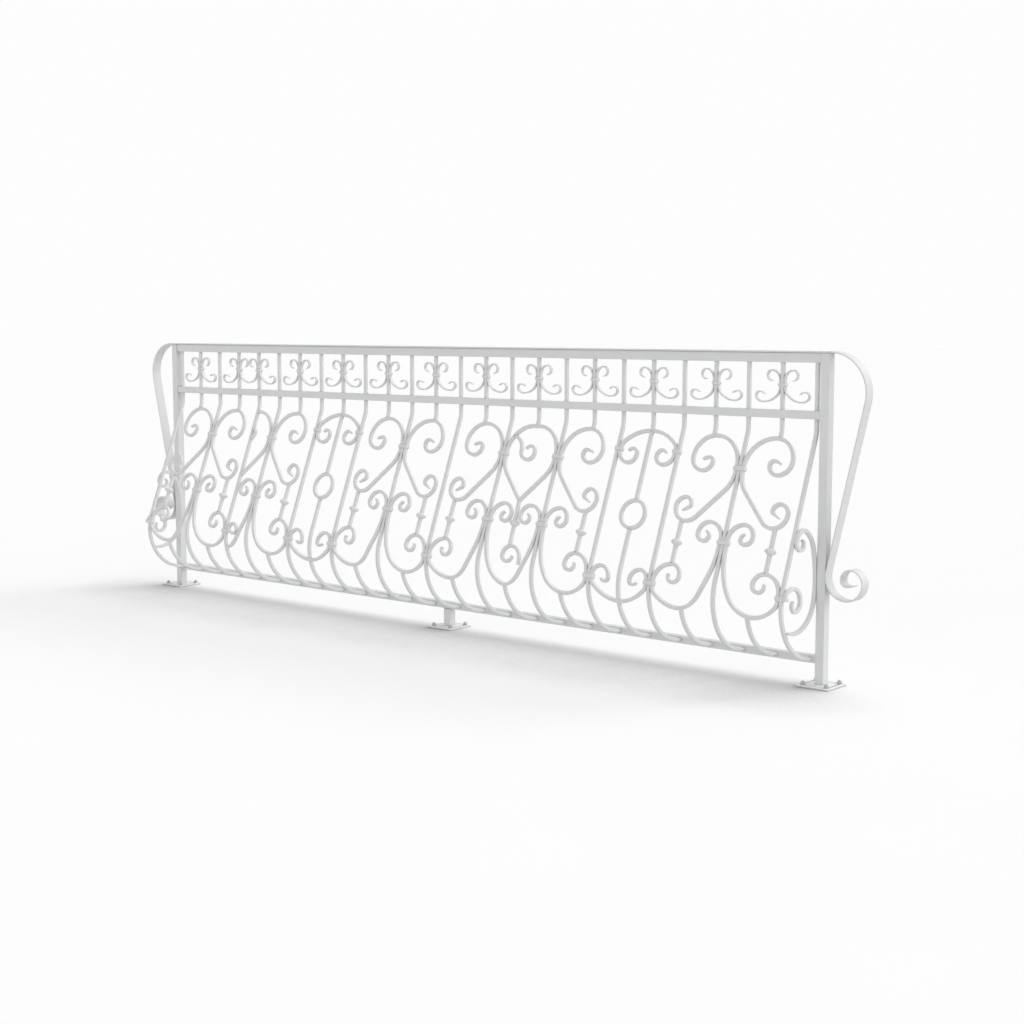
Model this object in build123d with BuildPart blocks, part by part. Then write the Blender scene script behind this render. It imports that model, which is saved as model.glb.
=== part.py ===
"""White painted wrought iron guard rail with a straight frieze and a bowed scroll panel."""

import os
from math import acos, asin, atan2, ceil, cos, degrees, hypot, radians, sin, sqrt, tan

from build123d import *

# Driving dimensions, in millimetres; turns are in degrees
pitch = 120.0
bay_count = 25
bar = 12.0
guard_height = 1013.0
cap_width = 40.0
cap_thickness = 5.0
post_size = 30.0
post_gap = 12.0
tube_wall = 2.0
top_rail_height = 30.0
rail_size = 25.0
mid_rail_top = 834.0
bottom_rail_top = 94.0
plate_size = 110.0
plate_thickness = 6.0
bolt_spacing = 80.0
bolt_hole_radius = 5.0

# The bowed side of an upright bar
bend_height = 767.0
bend_radius = 60.0
lean_turn = 21.2
lean_length = 481.0
belly_radius = 172.0

# Scroll panel: distances down the slope from the bend
upper_collar_drop = 126.0
mid_collar_drop = 363.0
arch_collar_drop = 83.5
ring_drop = 299.5
ring_radius = 46.0
collar_height = 14.0
collar_wall = 2.0

# Bends of the scrolls: radius of each quarter turn, from the collar outwards
heart_top_radii = (96.5, 71.5, 45.0, 31.5, 13.0)
heart_tip_radius = 39.5
heart_tip_turn = 29.0
heart_leg_radius = 97.0
heart_leg_turn = 42.5
heart_leg_length = 122.0
heart_curl_radii = (51.0, 45.0, 32.0, 23.0)
heart_hook_radius = 9.5
heart_hook_length = 15.0
lyre_neck = 4.0
lyre_top_radii = (50.5, 37.0, 25.0, 17.0)
lyre_tip_radius = 15.0
lyre_leg_radii = (321.0, 93.0)
lyre_bowl_radius = 118.0
lyre_curl_radii = (60.0, 35.0, 22.5, 18.5)
arch_crown_radius = 143.0
arch_curl_radii = (39.0, 29.5, 19.0)
basin_curl_radii = (30.0, 36.0, 13.0)
crown_tip_radius = 18.0
knuckle_offset = 170.0
knuckle_width = 34.0
knuckle_height = 24.0
shared_sway = 6.0
hook_left_radii = (31.0, 23.0, 21.0)
hook_right_radius = 45.0
hook_shift = 14.0
hook_tail = 17.0
curl_radii = (22.0, 22.0, 27.0, 34.0)
curl_arm_radius = 46.0
curl_top_drop = 94.5
curl_shift = -6.0
small_curl_radii = (24.0, 22.0, 17.0)
small_tip_radius = 14.0
leg_start_turn = 30.0
tip_turn = 60.0
end_tip_turn = 33.0

# Frieze scrolls: thin flat bar either side of a frieze bar
thin_bar = 5.0
frieze_collar_height = 910.0
frieze_band_height = 10.0
frieze_rise = 14.0
frieze_fall = 6.5
frieze_top_radii = (29.5, 15.0, 17.0)
frieze_leg_radii = (38.0, 67.0)
frieze_curl_radii = (32.0, 13.0)
frieze_hook_radius = 12.5
frieze_tip_radius = 30.0
frieze_tip_turn = 40.0

# End panels and end scrolls of the cap
side_run_height = 320.0
side_run_offset = 12.0
side_up_radii = (392.0, 92.0, 40.0, 35.0, 23.5, 16.5, 14.0)
side_up_turns = (15.0, 45.0, 30.0, 90.0, 90.0, 90.0, 70.0)
side_down_radii = (244.0, 107.0, 115.0, 114.0)
side_down_turns = (-15.0, -40.0, -35.0, -18.0)
side_neck_radii = (16.0, 65.0)
side_neck_turn = 50.0
side_curl_radii = (44.0, 28.0, 20.0)
strip_lead = 5.0
strip_shoulder_radius = 120.0
strip_return_turn = 13.0
volute_radii = (68.0, 55.0, 40.0, 31.5, 20.0)
volute_tip_radius = 40.0
volute_tip_turn = 25.0

# Bends that repeat many times are cut into flats that lie this far inside them at most
flat_rise = 2.5
tip_share = 0.6
full_share = 1.0
half_turn = 180.0
quarter = 90.0
eighth = 45.0

# Which uprights carry what, counted from the left end
full_bars = (0, 2, 4, 5, 7, 9, 11, 13, 15, 17, 19, 21, 23, 25)
stub_bars = (1, 3, 6, 10, 12, 14, 16, 18, 22, 24)
ring_centres = (8, 20)
frieze_places = (1, 3, 4, 6, 8, 10, 12, 14, 16, 18, 20, 22, 24)
scroll_centres = (2, 5, 11, 15, 17, 23)
shared_bar = 16
cut_bar = 4
shared_frieze_pair = (3, 4)
whole_left = (2, 11, 15, 23)
whole_right = (2, 5, 11, 17, 23)
lower_collar_bars = (0, 4, 7, 9, 13, 19, 21, 25)
arch_collar_bars = (7, 9, 19, 21)

# Sizes that follow from the driving dimensions
half_bar = bar / 2
half_run = pitch * bay_count / 2
cap_under = guard_height - cap_thickness
top_rail_under = cap_under - top_rail_height
mid_rail_centre = mid_rail_top - rail_size / 2
bottom_rail_centre = bottom_rail_top - rail_size / 2
post_inner = half_run + half_bar + post_gap
post_x = post_inner + post_size / 2
post_outer = post_inner + post_size
lean = radians(lean_turn)
bend_run = bend_radius * tan(lean / 2)


def bar_x(number):
    """Place of an upright bar along the rail."""
    return pitch * number - half_run


def slope_plane(x):
    """Plane of the sloping panel, with its origin at the bend and Y up the slope."""
    return Plane(origin=(x, 0, bend_height), x_dir=(1, 0, 0), z_dir=(0, -cos(lean), sin(lean)))


# The belly ends in a straight run that meets the front of the bottom rail at its middle
belly_start_y = -lean_length * sin(lean)
belly_start_z = bend_height - lean_length * cos(lean)
belly_centre_y = belly_start_y + belly_radius * cos(lean)
belly_centre_z = belly_start_z - belly_radius * sin(lean)
landing_y = -rail_size / 2
landing_dy = landing_y - belly_centre_y
landing_dz = bottom_rail_centre - belly_centre_z
landing_reach = hypot(landing_dy, landing_dz)
landing_angle = atan2(landing_dz, landing_dy) + acos(-belly_radius / landing_reach)
belly_turn = lean_turn + degrees(landing_angle)


def chain_sides(start, heading, moves, half, end_share=full_share):
    """Both sides of a bent bar, one move after another; a move is (radius or length, turn)."""
    x, y = start
    angle = radians(heading)
    left = [(x - half * sin(angle), y + half * cos(angle))]
    right = [(x + half * sin(angle), y - half * cos(angle))]
    for number, (size, turn) in enumerate(moves):
        flat_turn = 2 * degrees(acos(1 - min(1, flat_rise / size)))
        steps = max(1, ceil(abs(turn) / flat_turn))
        for step in range(steps):
            change = radians(turn) / steps
            reach = size if turn == 0 else 2 * size * sin(abs(change) / 2)
            x += reach * cos(angle + change / 2)
            y += reach * sin(angle + change / 2)
            angle += change
            taper = 1.0
            if number == len(moves) - 1:
                taper = 1 - (1 - end_share) * (step + 1) / steps
            left.append((x - taper * half * sin(angle), y + taper * half * cos(angle)))
            right.append((x + taper * half * sin(angle), y - taper * half * cos(angle)))
    return left, right


bar_moves = [(top_rail_under - bend_height - bend_run, 0), (bend_radius, -lean_turn)]
bar_moves += [(lean_length - bend_run, 0), (belly_radius, belly_turn)]
bar_moves += [(sqrt(landing_reach ** 2 - belly_radius ** 2), 0)]


def bowed_sheet(x, width, half):
    """Bar or sheet of the bowed outline, width along X, half its thickness each side."""
    sides = chain_sides((0, top_rail_under), -quarter, bar_moves, half)
    for side in sides:
        (near_y, near_z), (far_y, far_z) = side[-2:]
        along = (landing_y - near_y) / (far_y - near_y)
        side[-1] = (landing_y, near_z + along * (far_z - near_z))
    with BuildPart() as sheet:
        with BuildSketch(Plane.YZ.offset(x)):
            with BuildLine():
                Polyline(sides[0] + sides[1][::-1], close=True)
            make_face()
        extrude(amount=width / 2, both=True)
    return sheet


def scroll_outline(start, heading, forward, backward, half, hand, end_shares=(tip_share, tip_share)):
    """Closed outline of a scroll that leaves its collar forward and backward."""
    left, right = chain_sides(start, heading, forward, half, end_shares[0])
    back_left, back_right = chain_sides(start, heading + half_turn, backward, half, end_shares[1])
    points = left + right[:0:-1] + back_left + back_right[:0:-1]
    return [(hand * x, y) for x, y in points]


def quarters(radii, turn):
    """A run of quarter turns, one for each radius."""
    return [(radius, turn) for radius in radii]


# Moves of the scrolls, seen from the front on the right-hand side of their bar
collar_run = (collar_height / 2, 0)
heart_up = [collar_run] + quarters(heart_top_radii, -quarter) + [(heart_tip_radius, -heart_tip_turn)]
heart_down = [collar_run, (heart_leg_radius, heart_leg_turn), (heart_leg_length, 0)]
heart_down += [(heart_curl_radii[0], quarter - heart_leg_turn)]
heart_down += quarters(heart_curl_radii[1:], quarter)
heart_down += [(heart_hook_radius, tip_turn), (heart_hook_length, 0)]
half_heart_up = [collar_run, (heart_top_radii[0], -quarter), (heart_leg_radius, 0)]
half_heart_down = [collar_run, (heart_leg_radius, heart_leg_turn), (heart_leg_length + 2 * bar, 0)]
lyre_up = [collar_run, (lyre_neck, 0)] + quarters(lyre_top_radii, -quarter) + [(lyre_tip_radius, -tip_turn)]
lyre_leg = [collar_run, (lyre_leg_radii[0], leg_start_turn)]
lyre_leg += [(lyre_leg_radii[1], quarter - leg_start_turn)]
root_half = sqrt(0.5)
lyre_leg_angle = radians(leg_start_turn)
lyre_bowl_x = bar + lyre_leg_radii[0] * (1 - cos(lyre_leg_angle)) + lyre_leg_radii[1] * cos(lyre_leg_angle)
lyre_side_x = 2 * pitch - bar
lyre_side_radius = (lyre_side_x - lyre_bowl_x - lyre_bowl_radius * root_half) / (1 - root_half)
lyre_down = lyre_leg + quarters((lyre_bowl_radius, lyre_side_radius), eighth) + [(collar_height, 0)]
lyre_down += quarters(lyre_curl_radii, quarter) + [(lyre_tip_radius, end_tip_turn)]
crown_side_radius = (pitch - bar - arch_crown_radius * root_half) / (1 - root_half)
crown_half = quarters((arch_crown_radius, crown_side_radius), -eighth) + [(collar_height, 0)]
arch_half = crown_half + quarters(arch_curl_radii, -quarter) + [(crown_tip_radius, -tip_turn)]
basin_half = crown_half + quarters(basin_curl_radii, -quarter) + [(crown_tip_radius, -tip_turn)]
small_curl = [collar_run] + quarters(small_curl_radii, -quarter) + [(small_tip_radius, -tip_turn)]
frieze_up = [(frieze_rise, 0)] + quarters(frieze_top_radii, -quarter)
frieze_down = [(frieze_fall, 0)] + quarters(frieze_leg_radii + frieze_curl_radii, eighth)
frieze_down += [(frieze_hook_radius, quarter), (frieze_tip_radius, frieze_tip_turn)]
frieze_meet = pitch / 2 - half_bar - thin_bar / 2
meeting_radius = (frieze_meet - frieze_leg_radii[0] * (1 - root_half)) / root_half
half_frieze_down = [(frieze_fall, 0), (frieze_leg_radii[0], eighth), (meeting_radius, eighth)]
collar_run_start = collar_height / 2

# Deepest and widest places of the scrolls, where other bars meet them
heart_top_drop = upper_collar_drop - collar_run_start - heart_top_radii[0]
leg_angle = radians(heart_leg_turn)
heart_curl_drop = upper_collar_drop + collar_run_start + heart_leg_radius * sin(leg_angle)
heart_curl_drop += heart_leg_length * cos(leg_angle) + heart_curl_radii[0] * (1 - sin(leg_angle))
lyre_bowl_drop = mid_collar_drop + collar_run_start + lyre_leg_radii[0] * sin(lyre_leg_angle)
lyre_bowl_drop += lyre_leg_radii[1] * (1 - sin(lyre_leg_angle))
lyre_bowl_rise = lyre_bowl_radius * (1 - root_half) + lyre_side_radius * root_half
lower_collar_drop = lyre_bowl_drop - lyre_bowl_rise - collar_run_start
lyre_curl_drop = lower_collar_drop - collar_run_start - lyre_curl_radii[0]
crown_rise = arch_crown_radius * (1 - root_half) + crown_side_radius * root_half
arch_top_drop = arch_collar_drop - collar_run_start - crown_rise
basin_drop = lower_collar_drop + collar_run_start + crown_rise

pieces = {}


def keep(name, piece):
    """Name a finished piece and put it on the list of files to write."""
    piece.part.label = name
    pieces[name] = piece.part


# Posts, leg and base plates
def square_tube(plane, length):
    """Square tube that starts on a plane."""
    with BuildPart() as tube:
        with BuildSketch(plane):
            Rectangle(post_size, post_size)
            Rectangle(post_size - 2 * tube_wall, post_size - 2 * tube_wall, mode=Mode.SUBTRACT)
        extrude(amount=length)
    return tube


def base_plate(x):
    """Base plate with a bolt hole near each corner."""
    with BuildPart() as plate:
        with BuildSketch(Plane(origin=(x, 0, 0))):
            Rectangle(plate_size, plate_size)
            with GridLocations(bolt_spacing, bolt_spacing, 2, 2):
                Circle(bolt_hole_radius, mode=Mode.SUBTRACT)
        extrude(amount=plate_thickness)
    return plate


for name, x in (("left", -post_x), ("right", post_x)):
    keep(name + "_post", square_tube(Plane(origin=(x, 0, plate_thickness)), cap_under - plate_thickness))
leg_length = bottom_rail_top - rail_size - plate_thickness
keep("centre_leg", square_tube(Plane(origin=(0, 0, plate_thickness)), leg_length))
for name, x in (("left", -post_x), ("centre", 0), ("right", post_x)):
    keep(name + "_base_plate", base_plate(x))


# Rails between the posts; the middle one is punched for the upright bars that pass through it
def rail(centre, height, punched):
    """Rectangular tube along X between the posts."""
    with BuildPart() as tube:
        with BuildSketch(Plane.YZ.offset(-post_inner)):
            with Locations((0, centre)):
                Rectangle(rail_size, height)
                Rectangle(rail_size - 2 * tube_wall, height - 2 * tube_wall, mode=Mode.SUBTRACT)
        extrude(amount=2 * post_inner)
        if punched:
            with BuildSketch(Plane.XY.offset(centre)):
                with GridLocations(pitch, pitch, bay_count + 1, 1):
                    Rectangle(bar, bar)
            extrude(amount=height, both=True, mode=Mode.SUBTRACT)
    return tube


keep("top_rail", rail(cap_under - top_rail_height / 2, top_rail_height, False))
keep("mid_rail", rail(mid_rail_centre, rail_size, True))
keep("bottom_rail", rail(bottom_rail_centre, rail_size, False))

# Flat cap over the posts and the top rail, and its two ends that turn down into a volute
with BuildPart() as handrail_cap:
    with BuildSketch(Plane.XY.offset(cap_under)):
        Rectangle(2 * post_outer, cap_width)
    extrude(amount=cap_thickness)
keep("handrail_cap", handrail_cap)

return_angle = radians(strip_return_turn)
half_strip = cap_thickness / 2
shoulder_reach = strip_lead + strip_shoulder_radius * cos(return_angle)
touch_reach = half_strip + volute_radii[0] * (1 - cos(return_angle))
return_length = (shoulder_reach - touch_reach) / sin(return_angle)
strip_moves = [(strip_lead, 0), (strip_shoulder_radius, -quarter - strip_return_turn)]
strip_moves += [(return_length, 0), (volute_radii[0], strip_return_turn)]
strip_moves += quarters(volute_radii, quarter) + [(volute_tip_radius, volute_tip_turn)]
for name, hand in (("left", -1), ("right", 1)):
    with BuildPart() as end_scroll:
        with BuildSketch(Plane.XZ):
            with BuildLine():
                top = (post_outer, guard_height - half_strip)
                left, right = chain_sides(top, 0, strip_moves, half_strip, tip_share)
                Polyline([(hand * px, py) for px, py in left + right[::-1]], close=True)
            make_face()
        extrude(amount=cap_width / 2, both=True)
    keep(name + "_end_scroll", end_scroll)

# Sheets of the bowed outline: as thick as a bar, and as thick as a collar
bar_sheet = bowed_sheet(0, 2 * post_outer, half_bar)
collar_sheet = bowed_sheet(0, 2 * post_outer, half_bar + collar_wall)
reach = belly_radius / 2


def bent_scrolls(place, outlines, trims):
    """Scrolls beside a bar, bent with the sheet and trimmed where they meet a neighbour."""
    with BuildPart() as scrolls:
        for outline in outlines:
            with BuildSketch(slope_plane(place)):
                with BuildLine():
                    Polyline(outline, close=True)
                make_face()
            extrude(amount=reach, both=True)
        add(bar_sheet.part, mode=Mode.INTERSECT)
        for trim_x, side in trims:
            split(bisect_by=Plane.YZ.offset(trim_x), keep=side)
    return scrolls


def outline_of(up, down, drop, hand, end_shares):
    """Outline of a scroll collared beside its bar at a drop down the slope."""
    return scroll_outline((bar, -drop), quarter, up, down, half_bar, hand, end_shares)


def joined(parts, cutters):
    """Like pieces in one, coped to the scrolls they meet."""
    with BuildPart() as group:
        for piece in parts:
            add(piece.part)
        for cutter in cutters:
            add(cutter.part, mode=Mode.SUBTRACT)
    return group


heart_pairs = {}
lyre_pairs = {}
for number in scroll_centres:
    hearts = []
    lyres = []
    for hand, whole in ((-1, whole_left), (1, whole_right)):
        if number in whole or number - 1 == cut_bar:
            free = (tip_share, tip_share)
            hearts.append(outline_of(heart_up, heart_down, upper_collar_drop, hand, free))
            lyres.append(outline_of(lyre_up, lyre_down, mid_collar_drop, hand, free))
        else:
            plain = (full_share, full_share)
            hearts.append(outline_of(half_heart_up, half_heart_down, upper_collar_drop, hand, plain))
            lyres.append(outline_of(lyre_up, lyre_leg, mid_collar_drop, hand, (tip_share, full_share)))
    trims = []
    if number not in whole_left:
        edge = bar_x(shared_bar)
        if number - 1 == cut_bar:
            edge = bar_x(cut_bar) + half_bar
        trims.append((edge, Keep.TOP))
    if number not in whole_right:
        trims.append((bar_x(shared_bar), Keep.BOTTOM))
    heart_pairs[number] = bent_scrolls(bar_x(number), hearts, trims)
    lyre_pairs[number] = bent_scrolls(bar_x(number), lyres, trims)

# A small curl takes the place of the scroll that the cut bar leaves no room for
small_outline = outline_of(small_curl, [collar_run], lower_collar_drop, 1, (tip_share, full_share))
small_piece = bent_scrolls(bar_x(cut_bar), [small_outline], [])
lyre_pairs[cut_bar + 1] = joined([lyre_pairs[cut_bar + 1], small_piece], [])
for order, number in enumerate(scroll_centres, start=1):
    keep(f"heart_scrolls_{order}", heart_pairs[number])
    keep(f"lyre_scrolls_{order}", lyre_pairs[number])


# Arch and basin scrolls of the ring bays
def crown_scrolls(moves, drop, flip):
    """Scroll of two mirrored halves in each ring bay; flip turns it upside down."""
    left, right = chain_sides((0, 0), 0, moves, half_bar, tip_share)
    half_outline = left + right[::-1]
    with BuildPart() as crowns:
        for number in ring_centres:
            for hand in (-1, 1):
                with BuildSketch(slope_plane(bar_x(number))):
                    with BuildLine():
                        Polyline([(hand * px, flip * py - drop) for px, py in half_outline], close=True)
                    make_face()
                extrude(amount=reach, both=True)
        add(bar_sheet.part, mode=Mode.INTERSECT)
    return crowns


arch_scrolls = crown_scrolls(arch_half, arch_top_drop, 1)
basin_scrolls = crown_scrolls(basin_half, basin_drop, -1)
keep("arch_scrolls", arch_scrolls)
keep("basin_scrolls", basin_scrolls)

with BuildPart() as rings:
    for number in ring_centres:
        with BuildSketch(slope_plane(bar_x(number))):
            with Locations((0, -ring_drop)):
                Circle(ring_radius + half_bar)
                Circle(ring_radius - half_bar, mode=Mode.SUBTRACT)
        extrude(amount=half_bar, both=True)
keep("rings", rings)

# Full upright bars
for number in full_bars:
    keep(f"upright_{number:02d}", bowed_sheet(bar_x(number), bar, half_bar))


def slope_cut(x, drop):
    """Plane across the slope at a drop from the bend; its upper side is up the slope."""
    origin = (x, -drop * sin(lean), bend_height - drop * cos(lean))
    return Plane(origin=origin, z_dir=(0, sin(lean), cos(lean)))


def bowed_length(x, drop_top, drop_foot):
    """Part of an upright bar between two drops; None keeps that end."""
    with BuildPart() as piece:
        add(bowed_sheet(x, bar, half_bar).part)
        if drop_top is not None:
            split(bisect_by=slope_cut(x, drop_top), keep=Keep.BOTTOM)
        if drop_foot is not None:
            split(bisect_by=slope_cut(x, drop_foot), keep=Keep.TOP)
    return piece


# Frieze bars that end on the scrolls, and foot bars from the bowls to the bottom rail
stubs = [bowed_length(bar_x(number), None, heart_top_drop) for number in stub_bars]
keep("frieze_bars", joined(stubs, heart_pairs.values()))
feet = [bowed_length(bar_x(number), lyre_bowl_drop, None) for number in stub_bars]
keep("foot_bars", joined(feet, lyre_pairs.values()))

# Bars of the ring bays: to the arch, on to the ring, on to the basin, and the foot
ring_bars = []
for number in ring_centres:
    x = bar_x(number)
    ring_bars.append(bowed_length(x, None, arch_top_drop))
    ring_bars.append(bowed_length(x, arch_top_drop, ring_drop - ring_radius))
    ring_bars.append(bowed_length(x, ring_drop + ring_radius, basin_drop))
    ring_bars.append(bowed_length(x, basin_drop, None))
keep("ring_bars", joined(ring_bars, [rings, arch_scrolls, basin_scrolls]))


# Knuckle bars between the curls
def knuckle_bar(x, drop_top, drop_foot, sway):
    """Bar on the slope with an eight-sided knuckle; its foot stands aside by the sway."""
    middle = (drop_top + drop_foot) / 2
    length = hypot(drop_foot - drop_top, sway)
    sway_turn = degrees(asin(sway / length))
    with BuildPart() as piece:
        with BuildSketch(slope_plane(x)):
            with Locations((sway / 2, -middle)):
                Rectangle(bar, length, rotation=sway_turn)
        extrude(amount=half_bar, both=True)
        with BuildSketch(slope_cut(x + sway / 2, middle)):
            RegularPolygon(knuckle_width / 2, 8)
        bead_taper = degrees(atan2(knuckle_width / 2 - bar, knuckle_height / 2))
        extrude(amount=knuckle_height / 2, both=True, taper=bead_taper)
    return piece


knuckles = []
for number in scroll_centres:
    for hand, whole in ((-1, whole_left), (1, whole_right)):
        if number in whole:
            x = bar_x(number) + hand * knuckle_offset
            knuckles.append(knuckle_bar(x, heart_curl_drop, lyre_curl_drop, 0))
shared_x = bar_x(shared_bar)
shared_start = upper_collar_drop + collar_run_start + heart_leg_radius * sin(leg_angle)
shared_reach = pitch - bar - heart_leg_radius * (1 - cos(leg_angle))
shared_drop = shared_start + shared_reach / tan(leg_angle)
knuckles.append(knuckle_bar(shared_x, shared_drop, lyre_curl_drop, shared_sway))

# Hook under the shared bar, and the curl inside the shared heart
hook_left = quarters(hook_left_radii, quarter)
hook_right = [(hook_right_radius, -quarter), (hook_tail, 0)]
with BuildPart() as shared_hook:
    with BuildSketch(slope_plane(shared_x)):
        with BuildLine():
            start = (hook_shift, -lyre_curl_drop)
            Polyline(scroll_outline(start, 0, hook_right, hook_left, half_bar, 1), close=True)
        make_face()
    extrude(amount=reach, both=True)
    add(bar_sheet.part, mode=Mode.INTERSECT)
keep("shared_hook", shared_hook)
keep("knuckle_bars", joined(knuckles, list(heart_pairs.values()) + list(lyre_pairs.values()) + [shared_hook]))

curl_round = quarters(curl_radii[1:], -quarter) + [(curl_arm_radius, quarter)]
curl_shares = (full_share, tip_share)
with BuildPart() as shared_curl:
    with BuildSketch(slope_plane(shared_x)):
        with BuildLine():
            start = (curl_shift, -curl_top_drop)
            tip = [(curl_radii[0], tip_turn)]
            outline = scroll_outline(start, 0, curl_round, tip, half_bar, 1, curl_shares)
            Polyline(outline, close=True)
        make_face()
    extrude(amount=half_bar, both=True)
    for pair in heart_pairs.values():
        add(pair.part, mode=Mode.SUBTRACT)
keep("shared_curl", shared_curl)


# Collars round a bar and the scrolls beside it
def collar(x, drop, left_count, right_count):
    """Band round an upright and the scroll bars on its left and right."""
    width = bar * (1 + left_count + right_count)
    shift = bar * (right_count - left_count) / 2
    with BuildPart() as filling:
        with BuildSketch(slope_plane(x)):
            with Locations((shift, -drop)):
                Rectangle(width, collar_height)
        extrude(amount=reach, both=True)
        add(bar_sheet.part, mode=Mode.INTERSECT)
    with BuildPart() as band:
        with BuildSketch(slope_plane(x)):
            with Locations((shift, -drop)):
                Rectangle(width + 2 * collar_wall, collar_height)
        extrude(amount=reach, both=True)
        add(collar_sheet.part, mode=Mode.INTERSECT)
        add(filling.part, mode=Mode.SUBTRACT)
    return band


bands = []
for number in scroll_centres:
    bands.append(collar(bar_x(number), upper_collar_drop, 1, 1))
    bands.append(collar(bar_x(number), mid_collar_drop, 1, 1))
for number in lower_collar_bars:
    bands.append(collar(bar_x(number), lower_collar_drop, 1, 1))
for number in arch_collar_bars:
    on_right = number + 1 in ring_centres
    bands.append(collar(bar_x(number), arch_collar_drop, 0 if on_right else 1, 1 if on_right else 0))

# Frieze scrolls and their collars
half_thin = thin_bar / 2
with BuildPart() as frieze_scrolls:
    for number in frieze_places:
        plane = Plane(origin=(bar_x(number), 0, frieze_collar_height), x_dir=(1, 0, 0), z_dir=(0, -1, 0))
        for hand in (-1, 1):
            start = (half_bar + half_thin, 0)
            moves = (frieze_up, frieze_down)
            shares = (tip_share, tip_share)
            if number == shared_frieze_pair[0 if hand > 0 else 1]:
                moves = (frieze_up, half_frieze_down)
                shares = (tip_share, full_share)
            outline = scroll_outline(start, quarter, *moves, half_thin, hand, shares)
            with BuildSketch(plane):
                with BuildLine():
                    Polyline(outline, close=True)
                make_face()
            extrude(amount=half_bar, both=True)
keep("frieze_scrolls", frieze_scrolls)

with BuildPart() as frieze_collars:
    for number in frieze_places:
        with BuildSketch(Plane(origin=(bar_x(number), 0, frieze_collar_height - frieze_band_height / 2))):
            Rectangle(bar + 2 * (thin_bar + collar_wall), bar + 2 * collar_wall)
            Rectangle(bar + 2 * thin_bar, bar, mode=Mode.SUBTRACT)
        extrude(amount=frieze_band_height)
keep("frieze_collars", frieze_collars)

# Scrolls that close each end beside the post: a long one, and a curl from the lower collar
side_x = half_run + bar
side_up = list(zip(side_up_radii, side_up_turns))
side_down = list(zip(side_down_radii, side_down_turns))
collar_past = max(0.0, lower_collar_drop - lean_length)
collar_depth = belly_radius - sqrt(belly_radius ** 2 - collar_past ** 2)
collar_y = collar_depth * cos(lean) - lower_collar_drop * sin(lean)
collar_z = bend_height - lower_collar_drop * cos(lean) - collar_depth * sin(lean)
collar_heading = quarter - lean_turn + degrees(asin(collar_past / belly_radius))
side_curl = [collar_run, (side_neck_radii[0], -side_neck_turn)]
side_curl += [(side_neck_radii[1], side_neck_turn - collar_heading)]
side_curl += quarters(side_curl_radii, -quarter) + [(lyre_tip_radius, -tip_turn)]
side_start = (-side_run_offset, side_run_height)
long_outline = scroll_outline(side_start, quarter, side_up, side_down, half_bar, 1)
curl_start = (collar_y, collar_z)
curl_ends = (tip_share, full_share)
curl_outline = scroll_outline(curl_start, collar_heading, side_curl, [collar_run], half_bar, 1, curl_ends)
side_scrolls = []
for name, hand in (("left", -1), ("right", 1)):
    with BuildPart() as side_scroll:
        for outline in (long_outline, curl_outline):
            with BuildSketch(Plane.YZ.offset(hand * side_x)):
                with BuildLine():
                    Polyline(outline, close=True)
                make_face()
            extrude(amount=half_bar, both=True)
    side_scrolls.append(side_scroll)
    keep(name + "_side_scroll", side_scroll)
keep("scroll_collars", joined(bands, side_scrolls))

os.makedirs("parts", exist_ok=True)
for name, solid in pieces.items():
    export_step(solid, f"parts/{name}.step")
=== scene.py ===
"""White painted wrought iron guard rail: forged bars, welds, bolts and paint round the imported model."""

from math import acos, asin, atan2, ceil, cos, degrees, hypot, pi, radians, sin, sqrt, tan

import bpy
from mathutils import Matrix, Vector, noise


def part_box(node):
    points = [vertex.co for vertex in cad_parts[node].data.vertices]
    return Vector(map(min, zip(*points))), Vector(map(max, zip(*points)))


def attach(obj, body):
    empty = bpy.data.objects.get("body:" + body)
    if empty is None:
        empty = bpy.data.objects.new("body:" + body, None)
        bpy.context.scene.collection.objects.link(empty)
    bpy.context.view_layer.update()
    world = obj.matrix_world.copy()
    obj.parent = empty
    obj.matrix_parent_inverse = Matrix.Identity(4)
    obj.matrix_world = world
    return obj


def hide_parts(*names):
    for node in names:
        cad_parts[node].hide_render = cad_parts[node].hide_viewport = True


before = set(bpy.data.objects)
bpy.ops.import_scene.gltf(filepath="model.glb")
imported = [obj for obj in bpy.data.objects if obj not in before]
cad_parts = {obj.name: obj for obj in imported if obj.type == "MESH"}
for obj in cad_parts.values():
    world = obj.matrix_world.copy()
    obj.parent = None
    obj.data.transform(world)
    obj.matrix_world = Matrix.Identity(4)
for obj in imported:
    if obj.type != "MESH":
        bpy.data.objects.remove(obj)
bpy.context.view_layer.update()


# Sizes read from the imported model's parts, in metres
def size(node, axis):
    """Length of a node along one axis."""
    low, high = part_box(node)
    return high[axis] - low[axis]


def middle(node, axis):
    """Middle of a node along one axis."""
    low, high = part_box(node)
    return (low[axis] + high[axis]) / 2


X, Y, Z = range(3)
bay_count = 25
first_x = middle("upright_00", X)
pitch = (middle("upright_25", X) - first_x) / bay_count
bar = size("upright_00", X)
half_bar = bar / 2
rail_size = size("bottom_rail", Z)
bottom_rail_centre = middle("bottom_rail", Z)
top_rail_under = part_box("top_rail")[0][Z]
mid_rail_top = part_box("mid_rail")[1][Z]
guard_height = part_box("handrail_cap")[1][Z]
cap_width = size("handrail_cap", Y)
cap_thickness = size("handrail_cap", Z)
post_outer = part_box("right_post")[1][X]
post_size = size("right_post", X)
mid_rail_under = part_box("mid_rail")[0][Z]
plate_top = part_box("centre_base_plate")[1][Z]

# The bowed side of an upright bar; turns are in degrees
bend_height = 0.767
bend_radius = 0.060
lean_turn = 21.2
lean_length = 0.481
belly_radius = 0.172
lean = radians(lean_turn)
bend_run = bend_radius * tan(lean / 2)

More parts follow.
